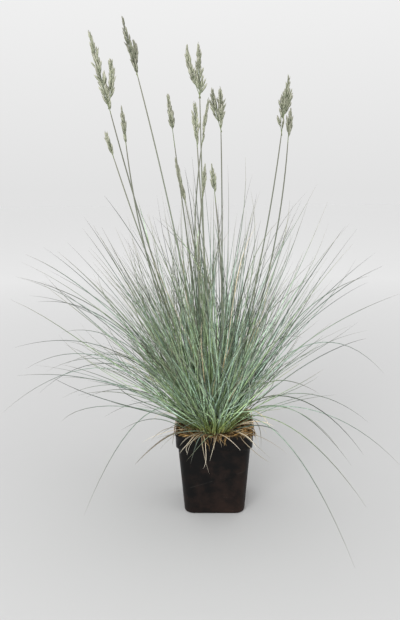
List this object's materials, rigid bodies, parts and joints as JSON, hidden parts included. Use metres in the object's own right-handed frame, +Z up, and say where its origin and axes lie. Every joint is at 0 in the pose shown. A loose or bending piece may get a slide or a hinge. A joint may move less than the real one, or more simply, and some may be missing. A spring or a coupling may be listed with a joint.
{
  "type": "potted blue fescue clump",
  "caption": "Clump of blue fescue grass with fine arching leaves, dead straw at its base and flowering stems, in a square black nursery pot.",
  "frame": {"origin": "centre of the pot's flat underside", "axes": "+Z up, -Y towards the front of the pot, +X to the right seen from the front"},
  "size_m": [0.4663, 0.3647, 0.5533],
  "materials": {
    "pot_plastic": "matte black polypropylene, dusted brown with dried peat",
    "peat": "crumbly dark brown peat",
    "crown_base": "yellow-green leaf sheaths among old straw",
    "leaf_blue_green": "waxy glaucous blue-green, paler towards the base",
    "straw": "dry, dull orange-brown to pale straw",
    "stem_green": "smooth grey-green stalk",
    "flower_head": "dry olive to straw spikelets"
  },
  "bodies": {
    "root": {"pot": "pot_plastic", "soil": "peat", "crown": "crown_base", "leaf_tuft_01": "leaf_blue_green", "leaf_tuft_02": "leaf_blue_green", "leaf_tuft_03": "leaf_blue_green", "leaf_tuft_04": "leaf_blue_green", "leaf_tuft_05": "leaf_blue_green", "leaf_tuft_06": "leaf_blue_green", "leaf_tuft_07": "leaf_blue_green", "leaf_tuft_08": "leaf_blue_green", "leaf_tuft_09": "leaf_blue_green", "leaf_tuft_10": "leaf_blue_green", "leaf_tuft_11": "leaf_blue_green", "leaf_tuft_12": "leaf_blue_green", "leaf_tuft_13": "leaf_blue_green", "leaf_tuft_14": "leaf_blue_green", "leaf_tuft_15": "leaf_blue_green", "leaf_tuft_16": "leaf_blue_green", "leaf_tuft_17": "leaf_blue_green", "leaf_tuft_18": "leaf_blue_green", "leaf_tuft_19": "leaf_blue_green", "leaf_tuft_20": "leaf_blue_green", "leaf_tuft_21": "leaf_blue_green", "leaf_tuft_22": "leaf_blue_green", "leaf_tuft_23": "leaf_blue_green", "straw_tuft_01": "straw", "straw_tuft_02": "straw", "straw_tuft_03": "straw", "straw_tuft_04": "straw", "straw_tuft_05": "straw", "straw_tuft_06": "straw", "flower_stem_01": "stem_green", "flower_stem_02": "stem_green", "flower_stem_03": "stem_green", "flower_stem_04": "stem_green", "flower_stem_05": "stem_green", "flower_stem_06": "stem_green", "flower_stem_07": "stem_green", "flower_stem_08": "stem_green", "flower_stem_09": "stem_green", "flower_stem_10": "stem_green", "flower_stem_11": "stem_green", "flower_stem_12": "stem_green", "flower_stem_13": "stem_green", "flower_stem_14": "stem_green", "flower_head_01": "flower_head", "flower_head_02": "flower_head", "flower_head_03": "flower_head", "flower_head_04": "flower_head", "flower_head_05": "flower_head", "flower_head_06": "flower_head", "flower_head_07": "flower_head", "flower_head_08": "flower_head", "flower_head_09": "flower_head", "flower_head_10": "flower_head", "flower_head_11": "flower_head", "flower_head_12": "flower_head", "flower_head_13": "flower_head", "flower_head_14": "flower_head"}
  },
  "joints": []
}
